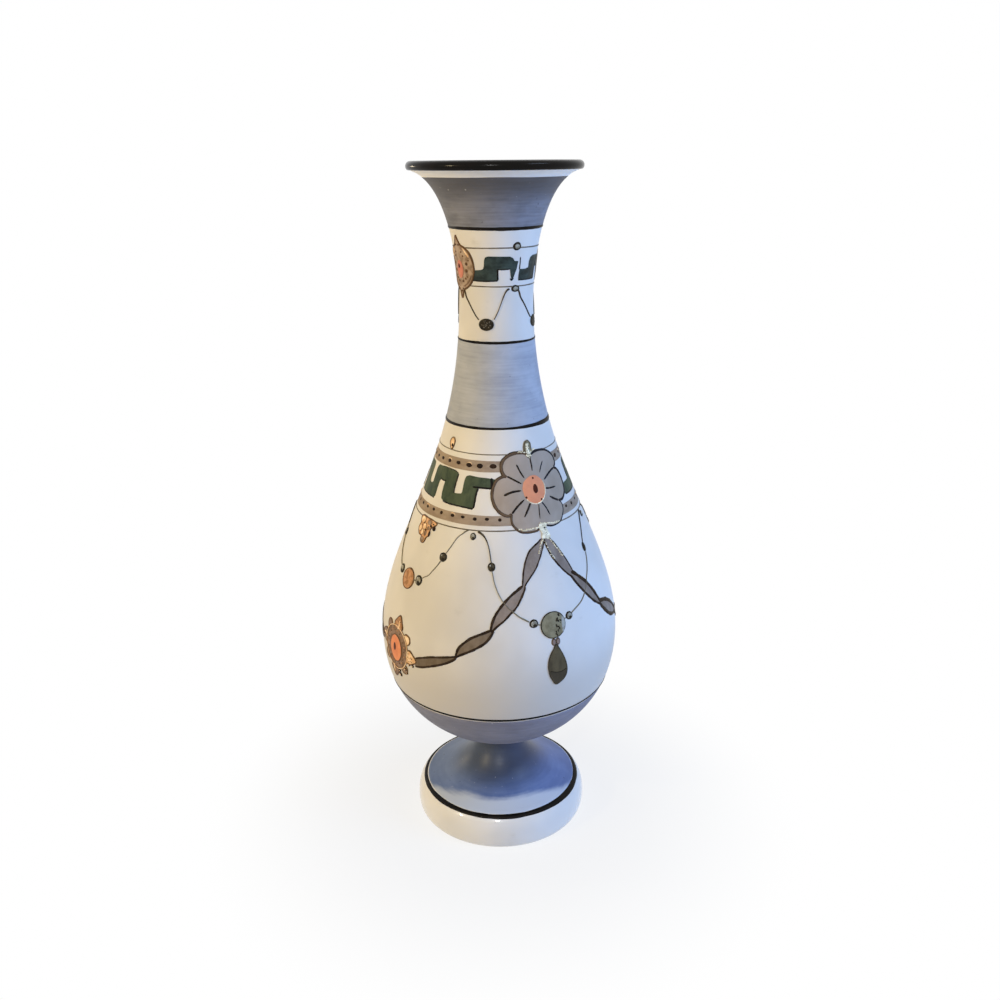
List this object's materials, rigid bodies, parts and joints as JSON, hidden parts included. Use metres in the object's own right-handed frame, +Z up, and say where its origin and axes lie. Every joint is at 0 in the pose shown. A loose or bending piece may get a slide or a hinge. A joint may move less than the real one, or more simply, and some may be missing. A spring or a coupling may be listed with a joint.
{
  "type": "footed glass vase",
  "caption": "Footed opaline glass vase with a pear-shaped body, slender neck and flared mouth, painted with fired enamel bands, flowers and garlands; holds stems.",
  "frame": {"origin": "middle of the face that the foot rests on, on the vase's axis", "axes": "+Z up the vase's axis, -Y towards the viewer of the picture, +X to that viewer's right"},
  "size_m": [0.1094, 0.1078, 0.3],
  "materials": {
    "opal_glass": "satin white opaline glass, polished at the foot rim",
    "lip_gloss_enamel": "glossy black-brown fired enamel",
    "blue_wash": "matt blue-grey enamel wash with brush streaks",
    "black_line": "black enamel line, semi-gloss",
    "brown_band": "matt warm brown enamel",
    "green_key": "dark green enamel, brushed",
    "mauve_enamel": "matt mauve-grey enamel",
    "coral_enamel": "satin coral enamel",
    "gilding": "fired gilding, worn and bright",
    "bead_enamel": "dark bronze-black enamel",
    "olive_enamel": "olive-grey enamel, satin"
  },
  "bodies": {
    "root": {"foot": "opal_glass", "vessel": "opal_glass", "lip_enamel": "lip_gloss_enamel", "mouth_blue_coat": "blue_wash", "mouth_black_line": "black_line", "neck_upper_pinline": "black_line", "neck_lower_pinline": "black_line", "neck_black_line": "black_line", "neck_blue_coat": "blue_wash", "shoulder_black_line": "black_line", "shoulder_upper_pinline": "black_line", "upper_bead_band": "brown_band", "lower_bead_band": "brown_band", "shoulder_lower_pinline": "black_line", "belly_black_line": "black_line", "belly_blue_coat": "blue_wash", "foot_blue_coat": "blue_wash", "foot_black_line": "black_line", "neck_key_front": "green_key", "neck_key_back": "green_key", "shoulder_key_right": "green_key", "shoulder_key_left": "green_key", "flower_petals_front": "mauve_enamel", "flower_heart_front": "coral_enamel", "flower_finial_front": "gilding", "flower_tie_front": "gilding", "garland_front_left": "mauve_enamel", "garland_front_right": "mauve_enamel", "deep_chain_front": "bead_enamel", "pendant_front": "olive_enamel", "flower_petals_back": "mauve_enamel", "flower_heart_back": "coral_enamel", "flower_finial_back": "gilding", "flower_tie_back": "gilding", "garland_back_left": "mauve_enamel", "garland_back_right": "mauve_enamel", "deep_chain_back": "bead_enamel", "pendant_back": "olive_enamel", "neck_rosette_gilding_left": "gilding", "neck_rosette_heart_left": "coral_enamel", "side_finial_left": "gilding", "gilt_sprig_left": "gilding", "shallow_chain_left": "bead_enamel", "gilt_medallion_left": "gilding", "belly_rosette_gilding_left": "gilding", "belly_rosette_heart_left": "coral_enamel", "neck_rosette_gilding_right": "gilding", "neck_rosette_heart_right": "coral_enamel", "side_finial_right": "gilding", "gilt_sprig_right": "gilding", "shallow_chain_right": "bead_enamel", "gilt_medallion_right": "gilding", "belly_rosette_gilding_right": "gilding", "belly_rosette_heart_right": "coral_enamel", "neck_swag_left": "bead_enamel", "neck_swag_right": "bead_enamel", "neck_swag_back_right": "bead_enamel", "neck_swag_back_left": "bead_enamel"}
  },
  "joints": []
}
